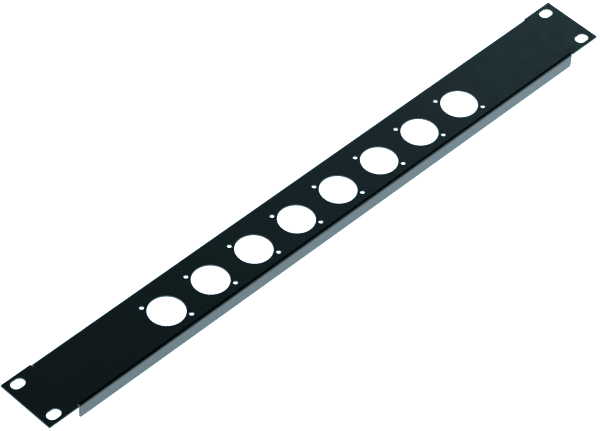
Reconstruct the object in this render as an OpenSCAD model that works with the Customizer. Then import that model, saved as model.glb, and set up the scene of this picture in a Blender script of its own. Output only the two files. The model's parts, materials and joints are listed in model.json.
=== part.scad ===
// Unloaded rack panel for round panel connectors, one rack unit high.
// It is one sheet of steel, punched flat and folded to the rear along both long edges.
// It lies face up: X along its length, Y towards the edge that is on top in a rack,
// Z out of the front face. The origin is midway between the flanges' rear edges.

/* [Panel] */
// Overall width across both rack ears
panel_w = 482.6; // [460:0.1:500]
// Height of the front face
panel_h = 43.7; // [43:0.1:60]
// Depth from the front face to the flanges' rear edges
panel_d = 11.6; // [6:0.1:60]
// Thickness of the sheet
sheet_t = 1.5; // [1:0.1:2.5]
// Inside radius of the two bends
bend_r = 0.5; // [0.3:0.1:1.5]

/* [Rack ears] */
// Length of the flat ear beyond the flanges at each end
ear_w = 24.3; // [22:0.1:30]
// Distance between the slots along the panel
slot_span = 465.1; // [450:0.1:470]
// Distance between the slots across the panel
slot_rise = 31.75; // [25:0.05:32]
// Length of a slot from end to end
slot_l = 9.5; // [7.5:0.1:11]
// Width of a slot
slot_w = 7; // [5:0.1:7.4]
// Width of the slit that parts each ear from the end of a fold
relief_w = 0.5; // [0.2:0.1:1.5]

/* [Connector cut-outs] */
// Number of connector cut-outs
cutouts = 8; // [1:1:10]
// Distance from one cut-out to the next
cutout_pitch = 36.9; // [32:0.1:40]
// Diameter of a cut-out
cutout_d = 24; // [20:0.1:24]
// Distance of the cut-outs below the middle of the face
cutout_drop = 2.6; // [0:0.1:3]
// Diameter of a connector's screw hole
screw_d = 2.8; // [2.4:0.1:3.6]
// Distance between a connector's two screw holes along the panel
screw_dx = 19; // [19:0.1:20]
// Distance between a connector's two screw holes across the panel
screw_dy = 24; // [24:0.1:25]

/* [Hidden] */
$fn = 64;
coat = "#22282B";
flange_l = panel_w - 2 * ear_w;
fold_r = bend_r + sheet_t;
plate_z = panel_d - sheet_t;
through = sheet_t + 2;

// A punched hole's tool, right through the sheet at a place on the face
module punch(x, y, d) {
    translate([x, y, plate_z - 1]) cylinder(d = d, h = through);
}

// A slot's tool: a straight middle with a half-round at each end
module slot_punch(x, y) {
    straight = slot_l - slot_w;
    for (side = [-1, 1]) punch(x + side * straight / 2, y, slot_w);
    translate([x - straight / 2, y - slot_w / 2, plate_z - 1]) cube([straight, slot_w, through]);
}

// One connector's hole with its two screw holes on a diagonal
module connector_punch(x) {
    punch(x, -cutout_drop, cutout_d);
    for (side = [-1, 1])
        punch(x - side * screw_dx / 2, side * screw_dy / 2 - cutout_drop, screw_d);
}

// The flat web with the ears: full height at the ears, cut back to the folds between them
module front_plate() {
    color(coat) difference() {
        translate([-panel_w / 2, -panel_h / 2, plate_z]) cube([panel_w, panel_h, sheet_t]);
        for (side = [-1, 1])
            translate([0, side * panel_h / 2, plate_z + sheet_t / 2])
                cube([flange_l + 2 * relief_w, 2 * fold_r, through], center = true);
        for (x = [-1, 1], y = [-1, 1]) slot_punch(x * slot_span / 2, y * slot_rise / 2);
        for (i = [0 : cutouts - 1]) connector_punch((i - (cutouts - 1) / 2) * cutout_pitch);
    }
}

// The quarter-round fold and the flat lip behind it, along the upper edge
module flange() {
    color(coat) translate([-flange_l / 2, 0, 0]) rotate([90, 0, 90]) linear_extrude(flange_l) {
        translate([panel_h / 2 - fold_r, panel_d - fold_r]) intersection() {
            difference() {
                circle(r = fold_r);
                circle(r = bend_r);
            }
            square(fold_r);
        }
        translate([panel_h / 2 - sheet_t, 0]) square([sheet_t, panel_d - fold_r]);
    }
}

module upper_flange() {
    flange();
}

module lower_flange() {
    mirror([0, 1, 0]) flange();
}

front_plate();
upper_flange();
lower_flange();
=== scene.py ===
"""Looks for an unloaded rack panel: one sheet of steel, punched, folded and powder coated black.

The sheet is drawn flat, as its punched blank, and then folded round the two bend lines, so the
face, the bends and the flanges are one continuous skin with softly rounded cut edges.
"""

import json
import math

import bpy
from mathutils import Matrix, Vector
from mathutils.geometry import tessellate_polygon


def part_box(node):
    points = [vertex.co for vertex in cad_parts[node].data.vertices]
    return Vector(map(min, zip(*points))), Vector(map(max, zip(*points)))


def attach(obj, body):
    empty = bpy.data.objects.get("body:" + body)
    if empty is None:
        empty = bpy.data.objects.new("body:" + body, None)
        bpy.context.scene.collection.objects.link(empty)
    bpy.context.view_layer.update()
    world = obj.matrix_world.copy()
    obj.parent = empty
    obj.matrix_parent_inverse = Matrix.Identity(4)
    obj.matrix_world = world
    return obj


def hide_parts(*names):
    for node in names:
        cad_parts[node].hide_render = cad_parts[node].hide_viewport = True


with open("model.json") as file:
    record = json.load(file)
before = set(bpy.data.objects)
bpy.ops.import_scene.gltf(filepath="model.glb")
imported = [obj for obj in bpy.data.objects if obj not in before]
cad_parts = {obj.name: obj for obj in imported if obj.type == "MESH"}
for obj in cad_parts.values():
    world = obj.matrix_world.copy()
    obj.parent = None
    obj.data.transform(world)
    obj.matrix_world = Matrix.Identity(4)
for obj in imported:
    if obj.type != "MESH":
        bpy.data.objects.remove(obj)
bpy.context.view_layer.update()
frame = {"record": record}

# ---------------------------------------------------------------- sizes, in metres
MM = 0.001
RELIEF_WIDTH = 0.5 * MM           # slit between an ear and the end of a fold
EAR_CORNER = 0.5 * MM             # corner radius of the ears in the flat blank
LIP_CORNER = 0.9 * MM             # corner radius of the flanges' free ends
FRONT_ROUNDING = 0.3 * MM         # the punch rolls the front edge over
REAR_ROUNDING = 0.15 * MM         # and leaves the rear edge sharper
SCREW_DX = 19.0 * MM              # a connector's two screw holes, along the panel
SCREW_DY = 24.0 * MM              # and across it
BEND_STEPS = 10
HOLE_STEPS = 72
SCREW_STEPS = 32
CORNER_STEPS = 6
ROUNDING_STEPS = 4

# ---------------------------------------------------------------- camera and light
CAMERA_AZIMUTH = -47.22
CAMERA_ELEVATION = 47.62
CAMERA_ROLL = 3.32
CAMERA_DISTANCE = 2.0463
CAMERA_AIM = (-15.06 * MM, -2.31 * MM, 11.6 * MM)
CAMERA_LENS = 197.26              # millimetres on a 36 mm sensor
FLOOR_RADIUS = 30.0
FLOOR_RADIANCE = (1.63, 2.2, 2.45)     # overexposed, and cool
SOFTBOX_COLOUR = (0.46, 0.88, 1.0)     # cool, which gives the black coat its cast
BEHIND_ANGLE = 42                 # degrees above the table, for the softboxes behind the panel
FRONT_ANGLE = 160                 # and for the one in front of it, counted on over the top
SOFTBOX_DISTANCE = 2.0
SOFTBOX_HEIGHT = 1.6


def plate_sizes():
    """The sheet's driving sizes, read from the CAD nodes' boxes."""
    plate_lo, plate_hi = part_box("front_plate")
    flange_lo, flange_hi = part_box("upper_flange")
    return {
        "half_width": plate_hi[0],
        "half_height": plate_hi[1],
        "depth": plate_hi[2],
        "thickness": plate_hi[2] - plate_lo[2],
        "half_flange": flange_hi[0],
        "fold_start": flange_lo[1],
        "fold_radius": flange_hi[1] - flange_lo[1],
    }


# ---------------------------------------------------------------- outlines of the flat blank
# An outline is a list of (point, normal) pairs in the blank's plane, with the metal on the
# left of the direction of travel and the normal pointing out of the metal.

def corner_arc(before, corner, after, radius, steps):
    """A rounded corner, tangent to both of its edges, turning either way."""
    way_in = (corner - before).normalized()
    way_out = (after - corner).normalized()
    turn = math.atan2(way_in.x * way_out.y - way_in.y * way_out.x, way_in.dot(way_out))
    side = math.copysign(1.0, turn)
    normal_in = Vector((way_in.y, -way_in.x))
    start = corner - way_in * radius * math.tan(abs(turn) / 2)
    centre = start - side * normal_in * radius
    arc = []
    for step in range(steps + 1):
        normal = normal_in.copy()
        normal.rotate(Matrix.Rotation(turn * step / steps, 2))
        arc.append((centre + side * normal * radius, normal))
    return arc


def circle_outline(centre, radius, steps):
    """A punched round hole, followed clockwise."""
    outline = []
    for step in range(steps):
        angle = -2 * math.pi * step / steps
        spoke = Vector((math.cos(angle), math.sin(angle)))
        outline.append((centre + spoke * radius, -spoke))
    return outline


def slot_outline(centre, length, width, steps):
    """A punched slot with half-round ends, lying along the panel, followed clockwise."""
    outline = []
    for end, first in ((1, math.pi / 2), (-1, -math.pi / 2)):
        middle = centre + Vector((end * (length - width) / 2, 0))
        for step in range(steps + 1):
            angle = first - math.pi * step / steps
            spoke = Vector((math.cos(angle), math.sin(angle)))
            outline.append((middle + spoke * width / 2, -spoke))
    return outline


def bend_length(size):
    """Length of the blank that a bend takes up, at the middle of the sheet."""
    return (size["fold_radius"] - size["thickness"] / 2) * math.pi / 2


def blank_outline(size):
    """The outer edge of the blank, counter-clockwise: two ears, two lips and four relief slits."""
    ear_x, ear_y = size["half_width"], size["half_height"]
    lip_x = size["half_flange"]
    slit_x, slit_y = lip_x + RELIEF_WIDTH, size["fold_start"] - RELIEF_WIDTH / 2
    lip_y = size["fold_start"] + bend_length(size) + size["depth"] - size["fold_radius"]
    quarter = [
        (ear_x, ear_y, EAR_CORNER),
        (slit_x, ear_y, FRONT_ROUNDING * 1.2),
        (slit_x, slit_y, RELIEF_WIDTH / 2),
        (lip_x, slit_y, RELIEF_WIDTH / 2),
        (lip_x, lip_y, LIP_CORNER),
    ]
    corners = list(quarter)
    corners += [(-x, y, r) for x, y, r in reversed(quarter)]
    corners += [(-x, -y, r) for x, y, r in quarter]
    corners += [(x, -y, r) for x, y, r in reversed(quarter)]
    places = [Vector((x, y)) for x, y, r in corners]
    outline = []
    for i, (x, y, radius) in enumerate(corners):
        before, after = places[i - 1], places[(i + 1) % len(places)]
        arc = corner_arc(before, places[i], after, radius, CORNER_STEPS)
        if outline and (outline[-1][0] - arc[0][0]).length < 1e-7:
            arc = arc[1:]
        outline += arc
        if abs(abs(x) - lip_x) < 1e-9 and abs(after.x - x) < 1e-9 and after.y * y > 0:
            outline += bend_stops(size, places[i], after)
    return outline


def bend_stops(size, start, end):
    """Points along a flange's end where the bend is divided, so that it folds smoothly."""
    heights = [size["fold_start"] + bend_length(size) * k / BEND_STEPS for k in range(1, BEND_STEPS + 1)]
    if abs(end.y) < abs(start.y):
        heights.reverse()
    side = math.copysign(1.0, start.y)
    normal = Vector((math.copysign(1.0, start.x), 0))
    return [(Vector((start.x, side * height)), normal) for height in heights]


# ---------------------------------------------------------------- folding the blank

def fold(size, x, y, height, normal):
    """Where a point of the flat blank, and its normal, come to rest once the lips are folded back."""
    past = abs(y) - size["fold_start"]
    if past <= 0 or abs(x) > size["half_flange"] + RELIEF_WIDTH / 4:
        return Vector((x, y, size["depth"] + height)), Vector(normal)
    side = math.copysign(1.0, y)
    length = bend_length(size)
    angle = min(past / length, 1.0) * math.pi / 2
    radius = size["fold_radius"] + height
    across = size["fold_start"] + radius * math.sin(angle)
    up = size["depth"] - size["fold_radius"] + radius * math.cos(angle) - max(past - length, 0.0)
    out, rise = normal[1] * side, normal[2]
    turned = (
        normal[0],
        side * (out * math.cos(angle) + rise * math.sin(angle)),
        rise * math.cos(angle) - out * math.sin(angle),
    )
    return Vector((x, side * across, up)), Vector(turned)


def edge_profile(thickness):
    """The cut edge's section: (inset, height, outward part, upward part, weight of edge rub and painted
    highlight) from front to rear.
    """
    rows = []
    # The last value of each row weights the edge's rubbing and painted highlight: nil on the faces,
    # strongest half way round each rounding.
    for step in range(ROUNDING_STEPS + 1):
        angle = math.pi / 2 * step / ROUNDING_STEPS
        out, up = math.sin(angle), math.cos(angle)
        rows.append((FRONT_ROUNDING * (1 - out), FRONT_ROUNDING * (up - 1), out, up, math.sin(2 * angle)))
    for step in range(ROUNDING_STEPS + 1):
        angle = math.pi / 2 * step / ROUNDING_STEPS
        out, down = math.cos(angle), math.sin(angle)
        height = -thickness + REAR_ROUNDING * (1 - down)
        rows.append((REAR_ROUNDING * (1 - out), height, out, -down, math.sin(2 * angle)))
    return rows


class SheetMesh:
    """Collects the folded sheet's points, normals and faces."""

    def __init__(self, size):
        self.size = size
        self.points, self.normals, self.wear, self.faces = [], [], [], []

    def ring(self, outline, inset, height, out, up, wear):
        """One line of points round an outline; returns their numbers."""
        first = len(self.points)
        for place, edge_normal in outline:
            flat = place - edge_normal * inset
            normal = (edge_normal.x * out, edge_normal.y * out, up)
            point, turned = fold(self.size, flat.x, flat.y, height, normal)
            self.points.append(point)
            self.normals.append(turned)
            self.wear.append(wear)
        return list(range(first, len(self.points)))

    def cut_edge(self, outline):
        """The rounded wall round an outline; returns its first and last ring, on the two faces."""
        rings = [self.ring(outline, *row) for row in edge_profile(self.size["thickness"])]
        for upper, lower in zip(rings, rings[1:]):
            for i in range(len(outline)):
                j = (i + 1) % len(outline)
                self.faces.append((upper[i], lower[i], lower[j], upper[j]))
        return rings[0], rings[-1]

    def fill(self, flat_loops, upward):
        """Flat metal between loops of (number, flat place)."""
        corners = [[Vector((p.x, p.y, 0)) for n, p in loop] for loop in flat_loops]
        numbers = [n for loop in flat_loops for n, p in loop]
        places = [p for loop in flat_loops for n, p in loop]
        for a, b, c in tessellate_polygon(corners):
            ab, ac = places[b] - places[a], places[c] - places[a]
            if (ab.x * ac.y - ab.y * ac.x > 0) != upward:
                b, c = c, b
            self.faces.append((numbers[a], numbers[b], numbers[c]))


def skin(sheet, outline, hole_outlines, outer, holes, inset, upward):
    """One face of the sheet: the web with its holes, and the bends and lips beyond it."""
    size = sheet.size
    start, bend = size["fold_start"], bend_length(size)
    flat = [(n, place - normal * inset) for n, (place, normal) in zip(outer, outline)]
    tiny = 1e-7

    def folded(place):
        return abs(place.y) > start + tiny and abs(place.x) < size["half_flange"] + tiny

    web = [item for item in flat if not folded(item[1])]
    loops = [web]
    for numbers, hole in zip(holes, hole_outlines):
        loops.append([(n, place - normal * inset) for n, (place, normal) in zip(numbers, hole)])
    sheet.fill(loops, upward)
    for side in (1, -1):
        lip = [
            item for item in flat
            if item[1].y * side > start - tiny and abs(item[1].x) < size["half_flange"] + tiny
        ]
        right = sorted((i for i in lip if i[1].x > 0), key=lambda i: i[1].y * side)
        left = sorted((i for i in lip if i[1].x < 0), key=lambda i: i[1].y * side)
        for k in range(BEND_STEPS):
            quad = (left[k][0], right[k][0], right[k + 1][0], left[k + 1][0])
            if (side > 0) != upward:
                quad = tuple(reversed(quad))
            sheet.faces.append(quad)
        rest = [i for i in lip if i[1].y * side > start + bend - tiny]
        sheet.fill([rest], upward)


def punched_holes():
    """Every hole's outline, at the places and sizes of the record's mounts."""
    outlines = []
    for mount in frame["record"]["mounts"]:
        centre, dims = Vector(mount["pos_m"][:2]), mount["dims"]
        if mount["kind"] == "bore":
            outlines.append(circle_outline(centre, dims["r_mm"] * MM, HOLE_STEPS))
        elif "pcd_mm" in dims:
            for side in (-1, 1):
                place = centre + Vector((-side * SCREW_DX / 2, side * SCREW_DY / 2))
                outlines.append(circle_outline(place, dims["hole_r_mm"] * MM, SCREW_STEPS))
        elif "slot_length_mm" in dims:
            length, width = dims["slot_length_mm"] * MM, 2 * dims["hole_r_mm"] * MM
            for x in (-dims["spacing_x_mm"] / 2 * MM, dims["spacing_x_mm"] / 2 * MM):
                for y in (-dims["spacing_y_mm"] / 2 * MM, dims["spacing_y_mm"] / 2 * MM):
                    place = centre + Vector((x, y))
                    outlines.append(slot_outline(place, length, width, SCREW_STEPS // 2))
    return outlines


def folded_panel():
    """The whole sheet as one skin, standing for the three CAD nodes."""
    size = plate_sizes()
    outline, hole_outlines = blank_outline(size), punched_holes()
    sheet = SheetMesh(size)
    outer_front, outer_rear = sheet.cut_edge(outline)
    edges = [sheet.cut_edge(hole) for hole in hole_outlines]
    front_holes, rear_holes = [e[0] for e in edges], [e[1] for e in edges]
    skin(sheet, outline, hole_outlines, outer_front, front_holes, FRONT_ROUNDING, True)
    skin(sheet, outline, hole_outlines, outer_rear, rear_holes, REAR_ROUNDING, False)
    mesh = bpy.data.meshes.new("folded_panel")
    mesh.from_pydata(sheet.points, [], sheet.faces)
    # Each point's weight of edge rubbing and painted edge highlight, read by the material.
    mesh.attributes.new("edge_wear", "FLOAT", "POINT").data.foreach_set("value", sheet.wear)
    mesh.shade_smooth()
    mesh.normals_split_custom_set_from_vertices(sheet.normals)
    panel = bpy.data.objects.new("folded_panel", mesh)
    bpy.context.collection.objects.link(panel)
    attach(panel, "root")
    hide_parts("front_plate", "upper_flange", "lower_flange")
    return panel


# ---------------------------------------------------------------- material

def powder_coat():
    """Semi-gloss black powder coat: orange peel, faint tone changes, and thin, rubbed cut edges with a
    painted highlight along them.
    """
    material = bpy.data.materials.new("powder_coat")
    material.use_nodes = True
    nodes, links = material.node_tree.nodes, material.node_tree.links
    shader = nodes["Principled BSDF"]
    shader.inputs["IOR"].default_value = 1.5
    place = nodes.new("ShaderNodeTexCoord").outputs["Object"]

    def noise(scale, detail, rough=0.5):
        node = nodes.new("ShaderNodeTexNoise")
        node.inputs["Scale"].default_value = scale
        node.inputs["Detail"].default_value = detail
        node.inputs["Roughness"].default_value = rough
        links.new(place, node.inputs["Vector"])
        return node.outputs["Fac"]

    def span(source, low, high, from_low=0.0, from_high=1.0):
        node = nodes.new("ShaderNodeMapRange")
        node.inputs["From Min"].default_value = from_low
        node.inputs["From Max"].default_value = from_high
        node.inputs["To Min"].default_value = low
        node.inputs["To Max"].default_value = high
        links.new(source, node.inputs["Value"])
        return node.outputs["Result"]

    def blend(factor, first, second):
        node = nodes.new("ShaderNodeMix")
        node.data_type = "RGBA"
        links.new(factor, node.inputs["Factor"])
        for socket, colour in ((node.inputs["A"], first), (node.inputs["B"], second)):
            if isinstance(colour, tuple):
                socket.default_value = (*colour, 1.0)
            else:
                links.new(colour, socket)
        return node.outputs["Result"]

    clouds = noise(70, 4, 0.6)
    coat = blend(span(clouds, 0, 1, 0.35, 0.65), (0.0004, 0.0018, 0.0024), (0.0022, 0.0055, 0.0066))
    specks = span(noise(2400, 1), 0, 1, 0.74, 0.80)
    dusty = blend(specks, coat, (0.05, 0.058, 0.062))
    # Cut edges: a lighter grey painted on in patches along the rounded edges, partly rubbed coat and
    # partly a painted highlight.
    wear_and_highlight_attribute = nodes.new("ShaderNodeAttribute")
    wear_and_highlight_attribute.attribute_name = "edge_wear"
    patchy_wear_and_highlight = nodes.new("ShaderNodeMath")
    patchy_wear_and_highlight.operation = "MULTIPLY"
    links.new(wear_and_highlight_attribute.outputs["Fac"], patchy_wear_and_highlight.inputs[0])
    links.new(span(noise(160, 4, 0.7), 0, 0.5, 0.45, 0.75), patchy_wear_and_highlight.inputs[1])
    links.new(blend(patchy_wear_and_highlight.outputs[0], dusty, (0.045, 0.048, 0.05)), shader.inputs["Base Color"])

    gloss = span(noise(90, 3), 0.17, 0.25, 0.3, 0.7)
    links.new(gloss, shader.inputs["Roughness"])

    peel = nodes.new("ShaderNodeBump")
    peel.inputs["Strength"].default_value = 0.9
    peel.inputs["Distance"].default_value = 0.00007
    links.new(noise(750, 2), peel.inputs["Height"])
    grain = nodes.new("ShaderNodeBump")
    grain.inputs["Strength"].default_value = 0.7
    grain.inputs["Distance"].default_value = 0.000015
    links.new(noise(3800, 2), grain.inputs["Height"])
    links.new(peel.outputs["Normal"], grain.inputs["Normal"])
    links.new(grain.outputs["Normal"], shader.inputs["Normal"])
    return material


# ---------------------------------------------------------------- studio

def floor():
    """A plain white table top that glows as an overexposed one does."""
    mesh = bpy.data.meshes.new("floor")
    rim = [
        (FLOOR_RADIUS * math.cos(k * math.pi / 32), FLOOR_RADIUS * math.sin(k * math.pi / 32), 0)
        for k in range(64)
    ]
    mesh.from_pydata(rim, [], [tuple(range(64))])
    table = bpy.data.objects.new("floor", mesh)
    bpy.context.collection.objects.link(table)
    material = bpy.data.materials.new("white_table")
    material.use_nodes = True
    nodes, links = material.node_tree.nodes, material.node_tree.links
    nodes.remove(nodes["Principled BSDF"])
    glow = nodes.new("ShaderNodeEmission")
    glow.inputs["Color"].default_value = (*FLOOR_RADIANCE, 1.0)
    glow.inputs["Strength"].default_value = 1.0
    links.new(glow.outputs["Emission"], nodes["Material Output"].inputs["Surface"])
    mesh.materials.append(material)


def softbox(name, height_angle, start, end, radiance):
    """A strip of soft light parallel to the panel, from start to end along X, facing the panel."""
    light = bpy.data.lights.new(name, "AREA")
    light.shape = "RECTANGLE"
    light.color = SOFTBOX_COLOUR
    light.size, light.size_y = end - start, SOFTBOX_HEIGHT
    light.energy = radiance * math.pi * light.size * light.size_y
    lamp = bpy.data.objects.new(name, light)
    angle = math.radians(height_angle)
    away, up = SOFTBOX_DISTANCE * math.cos(angle), SOFTBOX_DISTANCE * math.sin(angle)
    lamp.location = ((start + end) / 2, away, up)
    lamp.rotation_euler = (angle - math.pi / 2, 0, 0)
    bpy.context.collection.objects.link(lamp)


def room():
    """A dim room: white at the horizon, where the table runs out, and dark above it."""
    world = bpy.data.worlds.new("room")
    bpy.context.scene.world = world
    world.use_nodes = True
    nodes, links = world.node_tree.nodes, world.node_tree.links
    direction = nodes.new("ShaderNodeTexCoord").outputs["Generated"]
    split = nodes.new("ShaderNodeSeparateXYZ")
    links.new(direction, split.inputs[0])
    ramp = nodes.new("ShaderNodeValToRGB")
    stops = ramp.color_ramp.elements
    stops[0].position, stops[0].color = 0.04, (1.0, 1.0, 1.0, 1.0)
    stops[1].position, stops[1].color = 0.07, (0.006, 0.015, 0.02, 1.0)
    links.new(split.outputs["Z"], ramp.inputs["Fac"])
    links.new(ramp.outputs["Color"], nodes["Background"].inputs["Color"])


def camera():
    """The main view: a long lens from the front left, half way up."""
    azimuth, elevation = math.radians(CAMERA_AZIMUTH), math.radians(CAMERA_ELEVATION)
    back = Vector((
        math.sin(azimuth) * math.cos(elevation),
        -math.cos(azimuth) * math.cos(elevation),
        math.sin(elevation),
    ))
    level = Vector((0, 0, 1)).cross(back).normalized()
    right = Matrix.Rotation(math.radians(CAMERA_ROLL), 3, back) @ level
    up = back.cross(right)
    data = bpy.data.cameras.new("camera")
    data.lens, data.sensor_width, data.sensor_fit = CAMERA_LENS, 36.0, "HORIZONTAL"
    data.clip_start, data.clip_end = 0.05, 100.0
    eye = bpy.data.objects.new("camera", data)
    turn = Matrix((right, up, back)).transposed().to_4x4()
    eye.matrix_world = Matrix.Translation(Vector(CAMERA_AIM) + back * CAMERA_DISTANCE) @ turn
    bpy.context.collection.objects.link(eye)
    bpy.context.scene.camera = eye


panel = folded_panel()
panel.data.materials.append(powder_coat())
floor()
room()
softbox("main_left", BEHIND_ANGLE, -2.6, 1.1, 0.25)
softbox("main_middle", BEHIND_ANGLE, 1.1, 1.5, 0.45)
softbox("main_right", BEHIND_ANGLE, 1.5, 2.6, 0.9)
softbox("fill", FRONT_ANGLE, 0.9, 2.6, 0.5)
camera()
bpy.context.scene.view_settings.view_transform = "Standard"
